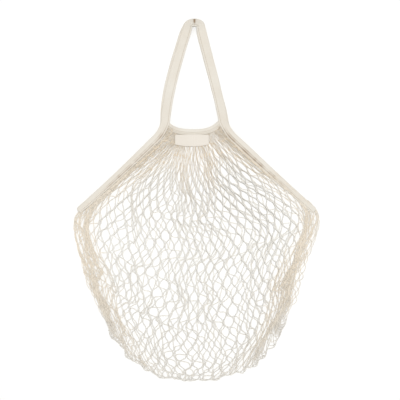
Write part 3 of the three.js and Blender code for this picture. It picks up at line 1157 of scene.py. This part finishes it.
@dataclass
class NetPouch:
    """The knitted net: zigzag strands that lie together at short whipped joints."""

    layout: NetLayout
    # Depth of one side before it was gathered, and the share of its flat area that string and joints cover.
    flat_depth: float = 430.0
    cover_share: float = 0.31
    seeds: tuple[int, int] = (17, 29)
    # Length of a joint, the largest share of the way to the next one that half of it takes, and how far its
    # two strands lie from its middle, in strands.
    joint_length: float = 2.8
    joint_share: float = 0.22
    joint_apart: float = 0.48
    # Rings of a strand between two joints, by their share of the way.
    inner_shares: tuple[float, ...] = (0.17, 0.34, 0.5, 0.66, 0.83)
    # How straight a taut strand leaves a joint, and how slack ones bow: the share, the most and how flatly.
    stiffness: float = 1.1
    bow_share: float = 0.5
    most_bow: float = 3.0
    bow_flat: tuple[float, float, float] = (1.0, 1.0, 0.8)
    # How far the first ring of a strand is tucked in under the band, and raised.
    tuck: Pair = (6.5, 0.2)
    # Lowest height of a strand's middle in strands, and the unevenness of its thickness.
    floor_lift: float = 0.55
    uneven_thickness: float = 0.07
    # Whipping of a joint: its reach in joints, the girth of its turns, half its width and height, and its way
    # round, in strands.
    sleeve_reach: float = 0.55
    sleeve_turns: tuple[float, ...] = (0.8, 1.08, 0.96, 1.08, 0.96, 1.08, 0.8)
    sleeve_half: Pair = (0.9, 0.56)
    sleeve_girth: float = 4.0
    # Strand along the bottom: steps for each strand of the net, strands to a scallop, its depth, how far the
    # seam lies in from the fold, half its thickness and its plies.
    seam_steps: int = 6
    scallop_strands: int = 4
    seam_scallop: float = 1.8
    seam_inset: float = 0.6
    seam_half: float = 0.6
    seam_lobe: float = 0.1
    # Share by which strands in a bunch are pressed thinner, at some levels.
    press: Pairs = ((0.08, 0.58), (0.4, 0.4))
    # Painted warm tint for light bounced within a bunch, at some levels, and streaks that vary it in the neck
    # gathers.
    painted_warmth_levels: Pairs = (
        (0.1, 0.85), (0.24, 0.62), (0.33, 0.5), (0.45, 0.62), (0.66, 0.62), (0.85, 0.45), (1.0, 0.1),
    )
    painted_streak_levels: Pair = (0.04, 0.14)
    painted_streak_range: Pair = (-0.24, 0.42)
    painted_streak_seed: int = 23

    def painted_warmth(self, close: Array) -> Array:
        """How much painted warm tint, for light bounced between the strands, they get for how close they lie.

        Args:
            close: How close they lie, by column and row.

        Returns:
            Shares of the painted warm tint, by column and row.
        """
        level = self.layout.levels
        low, high = self.painted_streak_range
        streaks = low + (high - low) * np.random.default_rng(self.painted_streak_seed).random(close.shape)
        at_neck = (1.0 - smoothstep(level, *self.painted_streak_levels)) * streaks
        return np.clip(close * (np.interp(level, *zip(*self.painted_warmth_levels)) + at_neck), 0.0, 1.0)

    def pressed(self, close: Array) -> Array:
        """Share of their thickness that the strands keep for how close they lie, by column and row."""
        return 1.0 - close * np.interp(self.layout.levels, *zip(*self.press))

    def strand_joints(self, layer: Layer) -> tuple[Array, Array, Array]:
        """Which joints the strands pass, by strand and row.

        Args:
            layer: Side of the bag. The strands of the rear are half a cell out of step.

        Returns:
            Whether the joint lies to the left of the strand, its column and its row.
        """
        strand = np.arange(self.layout.strand_count)[:, None]
        row = np.arange(self.layout.half_rows + 1)[None, :]
        on_left = (strand + row) % 2 == layer.pick((0, 1))
        return on_left, np.where(on_left, strand, strand + 1), np.broadcast_to(row, on_left.shape)

    def along_strands(self, values: Array) -> Array:
        """Values at the joints of each strand, carried on to its rings.

        Args:
            values: Values by strand and row.

        Returns:
            Values by strand and ring.
        """
        first, last = values[:, :-1], values[:, 1:]
        links = [first, first, *[first + (last - first) * share for share in self.inner_shares]]
        inner = np.stack(links, axis=2).reshape(len(values), -1)
        return np.concatenate([values[:, :1], inner, values[:, -1:], values[:, -1:]], axis=1)

    def strand_paths(self, layer: Layer, frames: JointFrames, rng: Rng) -> Array:
        """Middle lines of all strands of one side of the bag.

        Args:
            layer: Side of the bag.
            frames: Places and directions of the joints.
            rng: Seeded source of the bows in slack strands.

        Returns:
            Points, by strand, ring and axis.
        """
        thick = self.layout.thickness
        on_left, column, row = self.strand_joints(layer)
        along = frames.ahead[column, row]
        lean = np.where(on_left, 1.0, -1.0)[..., None] * frames.side[column, row]
        at = frames.at[column, row] + lean * thick * self.joint_apart
        chord = np.linalg.norm(np.diff(at, axis=1), axis=-1)
        nearest = np.minimum(*[np.pad(chord, ((0, 0), pad), "edge") for pad in ((1, 0), (0, 1))])
        half_joint = np.minimum(self.joint_length / 2.0, nearest * self.joint_share)[..., None]
        entry, leave = at - along * half_joint, at + along * half_joint
        leave[:, -1] = at[:, -1]
        start, end = leave[:, :-1], entry[:, 1:]
        span = np.linalg.norm(end - start, axis=-1, keepdims=True)
        slack = np.maximum(0.0, self.layout.reach - self.joint_length - span)
        pull = span * (self.stiffness + np.minimum(slack / np.maximum(span, 1.0), 1.0))
        # A shallow arc longer than its chord by the slack rises by the root of 3/8 of chord times slack.
        bow = np.minimum(np.sqrt(3.0 / 8.0 * span * slack), self.most_bow) * self.bow_share
        bow = bow * unit(rng.standard_normal(start.shape)) * self.bow_flat
        inner = []
        for share in self.inner_shares:
            square, cube = share**2, share**3
            point = (2 * cube - 3 * square + 1) * start + (3 * square - 2 * cube) * end
            point = point + (cube - 2 * square + share) * pull * along[:, :-1]
            point = point + (cube - square) * pull * along[:, 1:]
            inner.append(point + bow * math.sin(math.pi * share))
        links = np.stack([entry[:, :-1], start, *inner], axis=2).reshape(len(at), -1, 3)
        tail = entry[:, :1] + (0.0, *self.tuck)
        paths = np.concatenate([tail, links, entry[:, -1:], leave[:, -1:]], axis=1)
        paths[..., 2] = np.maximum(paths[..., 2], thick * self.floor_lift)
        return paths

    def joint_sleeves(self, layer: Layer, frames: JointFrames, close: Array) -> MeshParts:
        """The whipping that holds two strands together at each joint, with its turns as ridges.

        Args:
            layer: Side of the bag.
            frames: Places and directions of the joints.
            close: How close the strands lie, by column and row.

        Returns:
            All sleeves as one mesh.
        """
        column, row = np.indices(close.shape)
        real = (column + row) % 2 == layer.pick((0, 1))
        real[[0, -1]] = False
        real[:, [0, -1]] = False
        at, along, across = [part[real][:, None] for part in (frames.at, frames.ahead, frames.side)]
        girth = np.array(self.sleeve_turns)[:, None]
        turns = len(girth)
        place = np.linspace(-self.sleeve_reach, self.sleeve_reach, turns) * self.joint_length
        angle = ply_angles(turns, STRAND_SIDES, PLY_TURN)
        half_wide, half_tall = [share * self.layout.thickness for share in self.sleeve_half]
        wide = (girth * np.cos(angle) * half_wide)[..., None] * across[:, None]
        tall = (girth * np.sin(angle) * half_tall)[..., None] * np.cross(along, across)[:, None]
        thin = self.pressed(close)[real][:, None, None, None]
        rings = (at + along * place[:, None])[:, :, None] + (wide + tall) * thin
        distance = np.broadcast_to(place - place[0], (len(at), turns))
        around = np.linspace(0.0, self.sleeve_girth * self.layout.thickness, STRAND_SIDES + 1)
        parts = swept(rings, distance, around)
        # The sleeves get the same painted warm tint as the strands.
        parts.crowding = np.repeat(self.painted_warmth(close)[real], turns * STRAND_SIDES)
        return parts

    def bottom_seam(self) -> MeshParts:
        """The drawn up strand that runs in scallops along the fold at the bottom.

        Returns:
            The strand as a mesh.
        """
        layout = self.layout
        share = np.linspace(0.0, 1.0, self.seam_steps * layout.strand_count)
        wave = np.abs(np.sin(math.pi * layout.strand_count / self.scallop_strands * share))
        out = self.seam_scallop * wave - self.seam_inset
        flat = layout.bottom.at(share) - layout.bottom.left_of(share) * out[:, None]
        path = lifted(flat, layout.fold_height)
        return strands(path[None], layout.thickness * self.seam_half, lobe=self.seam_lobe)

    def build(self, layer: Layer, material: Material) -> list[Piece]:
        """Make one side of the net.

        Args:
            layer: Side of the bag.
            material: Finish of the strands.

        Returns:
            The finished pieces.
        """
        layout = self.layout
        rng = np.random.default_rng(layer.pick(self.seeds))
        frames = layout.frames(layer, rng)
        paths = self.strand_paths(layer, frames, rng)
        close = layout.crowding(frames.at)
        _, column, row = self.strand_joints(layer)
        uneven = 1.0 + self.uneven_thickness * rng.standard_normal(paths.shape[:2])
        kept = self.along_strands(self.pressed(close)[column, row])
        string = strands(paths, layout.thickness / 2.0 * uneven * kept)
        # Painted warm tint for light bounced between bunched strands.
        warm = self.along_strands(self.painted_warmth(close)[column, row])
        string.crowding = np.repeat(warm.ravel(), STRAND_SIDES)
        name = f"net_{layer.value}"
        parts = {name: string, f"{name}_joints": self.joint_sleeves(layer, frames, close)}
        if layer is Layer.FRONT:
            parts["net_bottom_seam"] = self.bottom_seam()
        made = [dressed(part.piece(key, material), "net_pouch") for key, part in parts.items()]
        return made


@dataclass
class FlatStrip:
    """A woven strip that follows a line: its section has round edges and flat faces with some relief."""

    line: Array
    side: Array
    face: Array
    width: Array
    thickness: Array
    relief: Array
    # Painted shade on the upper face, by point and place across, given to the mesh as its painted light.
    painted_shade: Array | None = None
    edge_points: int = 5
    # Share of the relief that shows on the lower face.
    under_relief: float = 0.5
    # Share of the pitch that a stitch takes, its rise in threads, and the points and sides of its thread.
    stitch_share: float = 0.74
    stitch_arch: float = 0.9
    stitch_points: int = 5
    stitch_sides: int = 5

    @staticmethod
    def face_places(count: int = 25) -> Array:
        """Places across a face at which relief is given, from -1 to 1 on the edge that the side points to."""
        return np.linspace(-1.0, 1.0, count)

    def mesh(self) -> MeshParts:
        """Make the strip, with the relief on both of its faces.

        Returns:
            The strip as a mesh.
        """
        face_points = self.relief.shape[1]
        flat = self.face_places(face_points)
        turn = np.linspace(-math.pi / 2.0, math.pi / 2.0, self.edge_points + 2)[1:-1]
        none, ones, edge = np.zeros(face_points), np.ones(face_points), np.ones(self.edge_points)
        across = np.concatenate([flat, edge, flat[::-1], -edge])
        bulge = np.concatenate([none, np.cos(turn), none, -np.cos(turn)])
        up = np.concatenate([-ones, np.sin(turn), ones, -np.sin(turn)])
        half = self.thickness[:, None] / 2.0
        rounded = np.minimum(half, self.width[:, None] / 2.0)
        out = across * (self.width[:, None] / 2.0 - rounded) + bulge * rounded
        upper = slice(face_points + self.edge_points, 2 * face_points + self.edge_points)
        rise = up * half
        rise[:, :face_points] -= self.under_relief * self.relief
        rise[:, upper] += self.relief[:, ::-1]
        rings = self.line[:, None] + out[..., None] * self.side[:, None]
        rings = rings + rise[..., None] * self.face[:, None]
        girth = 2.0 * float(np.mean(self.width))
        parts = swept(rings[None], distances(self.line)[None], np.linspace(0.0, girth, len(up) + 1))
        # Painted shade goes on the upper face only.
        if self.painted_shade is not None:
            close = np.zeros(rings.shape[:2])
            close[:, upper] = self.painted_shade[:, ::-1]
            parts.crowding = close.ravel()
        return parts

    def stitches(self, places: tuple[float, ...], pitch: float, thread: float) -> MeshParts:
        """Rows of stitches on the upper face.

        Args:
            places: Where the rows run, from -1 to 1 on the edge that the side points to.
            pitch: Distance from one stitch to the next.
            thread: Thickness of the thread.

        Returns:
            All rows as one mesh.
        """
        share = np.linspace(0.0, 1.0, self.stitch_points)
        arch = thread * self.stitch_arch * (np.sin(math.pi * share) - 0.5)
        paths = []
        for place in places:
            index = int(round((place + 1.0) / 2.0 * (self.relief.shape[1] - 1)))
            offset = place * (self.width - self.thickness) / 2.0
            rise = self.thickness / 2.0 + self.relief[:, index]
            row = self.line + self.side * offset[:, None] + self.face * rise[:, None]
            along = distances(row)
            starts = np.arange(2.0 * pitch, along[-1] - 2.0 * pitch, pitch)
            spots = starts[:, None] + share * pitch * self.stitch_share
            path, face = [
                np.stack([np.interp(spots, along, values[:, axis]) for axis in range(3)], axis=-1)
                for values in (row, self.face)
            ]
            paths.append(path + face * arch[:, None])
        return strands(np.concatenate(paths), thread / 2.0, sides=self.stitch_sides, turn=0.0)


@dataclass
class SewnStrip(ABC):
    """A strip of woven tape on one side of the bag, with its rows of stitches."""

    plan: BagPlan
    layer: Layer
    flat_width: float
    kind: str = ""
    stitch_places: tuple[float, ...] = ()
    stitch_pitch: float = 3.0
    thread: float = 0.7

    @abstractmethod
    def strip(self) -> FlatStrip:
        """The strip laid out along its line."""

    def build(self, cloth: Material, thread: Material) -> list[Piece]:
        """Make the strip and its stitches.

        Args:
            cloth: Finish of the strip.
            thread: Finish of the stitches.

        Returns:
            The finished pieces.
        """
        strip = self.strip()
        name = f"{self.kind}_{self.layer.value}"
        made = dressed(strip.mesh().piece(name, cloth), f"{self.layer.value}_{self.kind}")
        rows = strip.stitches(self.stitch_places, self.stitch_pitch, self.thread)
        sewing = dressed(rows.piece(f"{name}_stitches", thread))
        return [made, sewing]


@dataclass
class Tape(SewnStrip):
    """One length of flat tape: the folded hems of one side of the mouth, and that side's handle.

    Places across run from -1 at its inner edge to 1 at its outer one. A pair of places or distances is a
    middle and a reach, or a start and an end.
    """

    kind: str = "tape"
    stitch_places: tuple[float, ...] = (-0.66,)
    stitch_pitch: float = 3.2
    steps: int = 400
    # More steps at the crest, where the tape is creased, and the share of its length they take either way.
    crest_steps: int = 60
    crest_share: float = 0.012
    # How far the rear handle shows beside the front one: from above the neck to below the top.
    peek: float = 2.4
    peek_starts: Pair = (10.0, 80.0)
    peek_ends: Pair = (-30.0, -5.0)
    # Relief: the stitched groove, less deep on the handle, the puffed hem, the selvedges and the crease.
    groove: float = 0.45
    groove_reach: float = 0.1
    handle_groove: float = 0.35
    puff: float = 0.35
    selvedge: float = 0.15
    selvedge_place: Pair = (0.92, 0.06)
    crease: float = 0.8
    crease_reach: float = 1.3
    # Shade in the groove of the hems and along a second line, from corner to neck, less on the left.
    shade_reach: float = 0.2
    shade_line: Pair = (-0.15, 0.12)
    shade_line_share: float = 0.7
    shade_starts: Pair = (10.0, 70.0)
    shade_ends: Pair = (-5.0, 15.0)
    shade_sides: Pair = (0.65, 1.0)
    shade_mean: float = 0.75
    shade_swells: tuple[tuple[int, float], ...] = ((60, 0.4), (190, 0.45))
    shade_seed: int = 8
    # Shade in the crease, towards the outer edge.
    crease_shade_reach: float = 1.8
    crease_shade_places: Pair = (-0.7, 0.2)
    # Unevenness of height and width, with the number of swells along the tape.
    seeds: tuple[int, int] = (5, 6)
    lift: float = 0.2
    lift_waver: float = 0.25
    lift_swells: int = 26
    width_waver: float = 0.02
    width_swells: int = 40
    # The section is a little thinner than the solid's, with round ends, and narrows towards the corners.
    thickness_share: float = 0.85
    end_round: float = 4.0
    end_share: float = 0.04
    tapers: Pair = (0.2, 0.25)
    taper_spans: Pairs = ((60.0, 190.0), (80.0, 200.0))

    def middle(self) -> Array:
        """Middle line of the tape in plan.

        Returns:
            Points from the left corner to the right one, closer at the crest.
        """
        plan = self.plan
        line = plan.tape_line(self.layer.pick((0.0, plan.rear_spread)))
        crest = float(line.shares[np.argmin(np.linalg.norm(line.points - plan.crest, axis=1))])
        near = crest + np.linspace(-self.crest_share, self.crest_share, self.crest_steps)
        flat = line.at(np.unique(np.concatenate([np.linspace(0.0, 1.0, self.steps), near])))
        if self.layer is Layer.REAR:
            starts = [plan.neck_y + above for above in self.peek_starts]
            ends = [plan.handle_top + above for above in self.peek_ends]
            flat[:, 0] -= self.peek * plateau(flat[:, 1], starts, ends)
        return flat

    def from_crest(self, flat: Array, reach: float) -> Array:
        """How near points of the line are to the crest, from 0 far off to 1 on it, as a column."""
        return bell(np.linalg.norm(flat - self.plan.crest, axis=1), 0.0, reach)[:, None]

    def relief(self, flat: Array) -> Array:
        """Relief of the tape's upper face.

        Args:
            flat: Points of its line, in plan.

        Returns:
            Heights, by point and place across.
        """
        plan = self.plan
        place = FlatStrip.face_places()
        hem = 1.0 - smoothstep(flat[:, 1], plan.neck_y, plan.neck_y + plan.unroll_length)[:, None]
        depth = self.groove * (self.handle_groove + (1.0 - self.handle_groove) * hem)
        sewn = depth * bell(place, self.stitch_places[0], self.groove_reach)
        puffed = self.puff * hem * np.cos(0.5 * math.pi * place)
        edges = self.selvedge * bell(np.abs(place), *self.selvedge_place)
        return puffed + edges - sewn - self.crease * self.from_crest(flat, self.crease_reach)

    def painted_shade(self, flat: Array) -> Array:
        """How much painted shade darkens the stitched groove of the hems and the crease.

        Args:
            flat: Points of the line, in plan.

        Returns:
            Shares from 0 to 1, by point and place across.
        """
        plan = self.plan
        place = FlatStrip.face_places()
        starts = [plan.corner_y + above for above in self.shade_starts]
        ends = [plan.neck_y + above for above in self.shade_ends]
        rng = np.random.default_rng(self.shade_seed)
        swells = [share * waver(rng, len(flat), count) for count, share in self.shade_swells]
        uneven = self.shade_mean + sum(swells)
        left, right = self.shade_sides
        amount = np.where(flat[:, 0] > plan.neck_middle, right, left) * plateau(flat[:, 1], starts, ends)
        amount = (amount * uneven)[:, None]
        lines = bell(place, self.stitch_places[0], self.shade_reach)
        lines = lines + self.shade_line_share * bell(place, *self.shade_line)
        creased = self.from_crest(flat, self.crease_shade_reach)
        creased = creased * smoothstep(place, *self.crease_shade_places)
        return np.clip(amount * lines + creased, 0.0, 1.0)

    def strip(self) -> FlatStrip:
        """Lay the tape out along its line.

        Returns:
            The strip.
        """
        plan = self.plan
        flat = self.middle()
        count = len(flat)
        line = PlanCurve(flat)
        outward = lifted(line.left_of(line.shares), 0.0)
        turn = plan.tape_tilt(flat)[:, None]
        rng = np.random.default_rng(self.layer.pick(self.seeds))
        lift = plan.tape_lift(flat, self.layer) + self.lift
        lift = lift + self.lift_waver * np.abs(waver(rng, count, self.lift_swells))
        side = outward * np.cos(turn) - UP * np.sin(turn)
        face = outward * np.sin(turn) + UP * np.cos(turn)
        width = plan.tape_width(flat) * (1.0 + self.width_waver * waver(rng, count, self.width_swells))
        to_end = np.minimum(line.shares, 1.0 - line.shares) * line.length / self.end_round
        width = width * np.sqrt(1.0 - (1.0 - np.clip(to_end, self.end_share, 1.0)) ** 2)
        for half in Side:
            outwards = smoothstep(half.value * flat[:, 0], *half.pick(self.taper_spans))
            width = width * (1.0 - half.pick(self.tapers) * outwards)
        thick = np.full(count, plan.tape_thickness * self.thickness_share)
        return FlatStrip(lifted(flat, lift), side, face, width, thick, self.relief(flat), self.painted_shade(flat))


@dataclass
class NeckBand(SewnStrip):
    """The band that closes the gathers at one side of the neck."""

    kind: str = "neck_band"
    stitch_places: tuple[float, ...] = (-0.1, -0.72)
    thickness: float = 2.2
    steps: int = 110
    # How far the ends of the front band sink, and where that starts and ends on the way from its middle.
    end_sink: float = 3.6
    sink_span: Pair = (0.62, 0.92)
    puff: float = 0.3
    groove: float = 0.35
    groove_reach: float = 0.12
    # Middle line in plan, which hangs like a sling between the feet of the handle.
    sling: Pairs = (
        (-52.0, 128.5), (-43.4, 121.5), (-33.0, 116.5), (-19.6, 114.2), (-2.6, 113.5),
        (14.5, 115.0), (28.0, 119.8), (38.3, 127.5), (46.0, 136.5),
    )

    def strip(self) -> FlatStrip:
        """Lay the band out along its line.

        Returns:
            The strip.
        """
        plan = self.plan
        line = PlanCurve(spline(np.array(self.sling)))
        share = np.linspace(0.0, 1.0, self.steps)
        flat = line.at(share)
        side = lifted(line.left_of(share), 0.0)
        lift = self.thickness / 2.0
        if self.layer is Layer.FRONT:
            sunk = self.end_sink * smoothstep(np.abs(share - 0.5) * 2.0, *self.sink_span)
            lift = plan.mouth_height(flat[:, 0]) - plan.wall / 2.0 - sunk
        ones = np.ones(self.steps)
        place = FlatStrip.face_places()
        relief = self.puff * np.cos(0.5 * math.pi * place)
        for row in self.stitch_places:
            relief = relief - self.groove * bell(place, row, self.groove_reach)
        face = np.broadcast_to(UP, side.shape)
        relief = np.broadcast_to(relief, (self.steps, len(place)))
        middle = lifted(flat, lift)
        return FlatStrip(middle, side, face, ones * self.flat_width, ones * self.thickness, relief)


@dataclass
class Label:
    """The blank cloth label under the front band."""

    plan: BagPlan
    width: float = 57.0
    height: float = 20.5
    thickness: float = 1.0
    # Middle of its upper edge in plan, how much shorter its ends are, how high it lies and how it slopes.
    top: Pair = (-7.6, 109.4)
    bow: float = 3.4
    lift: float = 2.2
    slope: float = 0.2
    steps: int = 90
    # A soft crease beside its middle, and the hem at its lower edge: depth or height, place and reach.
    crease: tuple[float, float, float] = (0.7, 4.0, 1.8)
    hem: tuple[float, float, float] = (0.25, -0.9, 0.12)

    def strip(self) -> FlatStrip:
        """Lay the label out from its left edge to its right one.

        Returns:
            The strip.
        """
        share = np.linspace(-0.5, 0.5, self.steps)
        height = self.height - self.bow * (2.0 * share) ** 2
        across = share * self.width
        depth, *crease = self.crease
        x = self.top[0] + across
        z = self.plan.mouth_height(x) + self.lift - depth * bell(across, *crease)
        line = np.stack([x, self.top[1] - height / 2.0, z], axis=1)
        side = np.broadcast_to(unit(np.array([0.0, 1.0, -self.slope])), line.shape)
        face = np.broadcast_to(unit(np.array([0.0, self.slope, 1.0])), line.shape)
        place = FlatStrip.face_places()
        raised, *hem = self.hem
        relief = np.broadcast_to(raised * bell(place, *hem), (self.steps, len(place)))
        return FlatStrip(line, side, face, height, np.full(self.steps, self.thickness), relief)

    def build(self, cloth: Material) -> list[Piece]:
        """Make the label.

        Args:
            cloth: Finish of the label.

        Returns:
            The finished piece.
        """
        label = dressed(self.strip().mesh().piece("label_cloth", cloth), "label")
        return [label]


@dataclass
class Studio:
    """Pale floor, soft light and the camera that looks straight down."""

    # What the camera sees across, in millimetres, the middle of it and the height at which it is that wide.
    view_width: float = 680.0
    view_middle: Pair = (5.95, -1.3)
    view_height: float = 10.0
    lens: float = 100.0
    sensor: float = 36.0
    dome_strength: float = 0.45
    # The lamp's power in watts, and its width and place in metres.
    key_strength: float = 45.5
    key_size: float = 0.1
    key_place: tuple[float, float, float] = (0.03, 0.05, 2.3)
    # Matt white studio paper: neutral and without gloss, so that only shadows show on it.
    floor_colour: str = "#e9e9e8"
    floor_reach: float = 30.0

    def floor(self) -> None:
        """The floor, matt and pale, which reaches to the horizon."""
        mesh = bpy.data.meshes.new("studio_floor")
        far = self.floor_reach
        corners = [(-far, -far, 0.0), (far, -far, 0.0), (far, far, 0.0), (-far, far, 0.0)]
        mesh.from_pydata(corners, [], [(0, 1, 2, 3)])
        made = bpy.data.objects.new("studio_floor", mesh)
        bpy.context.scene.collection.objects.link(made)
        paint = bpy.data.materials.new("Matt white studio paper")
        paint.use_nodes = True
        shader = paint.node_tree.nodes["Principled BSDF"]
        shader.inputs["Base Color"].default_value = linear(self.floor_colour)
        shader.inputs["Roughness"].default_value = 1.0
        shader.inputs["Specular IOR Level"].default_value = 0.0
        mesh.materials.append(paint)

    def lights(self) -> None:
        """A white dome and one small round lamp almost straight above."""
        scene = bpy.context.scene
        world = bpy.data.worlds.new("studio_dome")
        scene.world = world
        world.use_nodes = True
        background = world.node_tree.nodes["Background"]
        background.inputs["Color"].default_value = linear("#ffffff")
        background.inputs["Strength"].default_value = self.dome_strength
        lamp = bpy.data.lights.new("soft_key", "AREA")
        lamp.shape = "DISK"
        lamp.size = self.key_size
        lamp.energy = self.key_strength
        key = bpy.data.objects.new("soft_key", lamp)
        key.location = self.key_place
        aim = -np.array(key.location)
        tilt = math.acos(-aim[2] / np.linalg.norm(aim))
        key.rotation_euler = (tilt, 0.0, math.atan2(aim[1], aim[0]) - math.pi / 2.0)
        scene.collection.objects.link(key)
        scene.view_settings.view_transform = "Standard"

    def camera(self) -> None:
        """The camera, straight above the bag."""
        scene = bpy.context.scene
        data = bpy.data.cameras.new("camera")
        data.lens = self.lens
        data.sensor_width = self.sensor
        camera = bpy.data.objects.new("camera", data)
        distance = self.view_width * self.lens / self.sensor
        x, y = self.view_middle
        camera.location = (x * MM, y * MM, (distance + self.view_height) * MM)
        scene.collection.objects.link(camera)
        scene.camera = camera

    def build(self) -> None:
        """Set up the studio."""
        self.floor()
        self.lights()
        self.camera()


def report(made: list[Piece]) -> None:
    """Log the name and the number of faces of each piece."""
    for piece in made:
        LOG.info("%s: %d faces", piece.name, len(piece.data.polygons))


def main() -> None:
    """Dress the bag piece by piece and set up the studio."""
    logging.basicConfig(level=logging.INFO, format="%(name)s: %(message)s")
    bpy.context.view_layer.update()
    plan = BagPlan()
    string, tape = COTTON_STRING.material(), COTTON_TAPE.material()
    thread, cloth = SEWING_THREAD.material(), LABEL_CLOTH.material()
    net = NetPouch(NetLayout(plan))
    for layer in (Layer.REAR, Layer.FRONT):
        report(net.build(layer, string))
        report(Tape(plan, layer, plan.handle_width).build(tape, thread))
        report(NeckBand(plan, layer, plan.band_width).build(tape, thread))
    report(Label(plan).build(cloth))
    Studio().build()


if __name__ == "__main__":
    main()
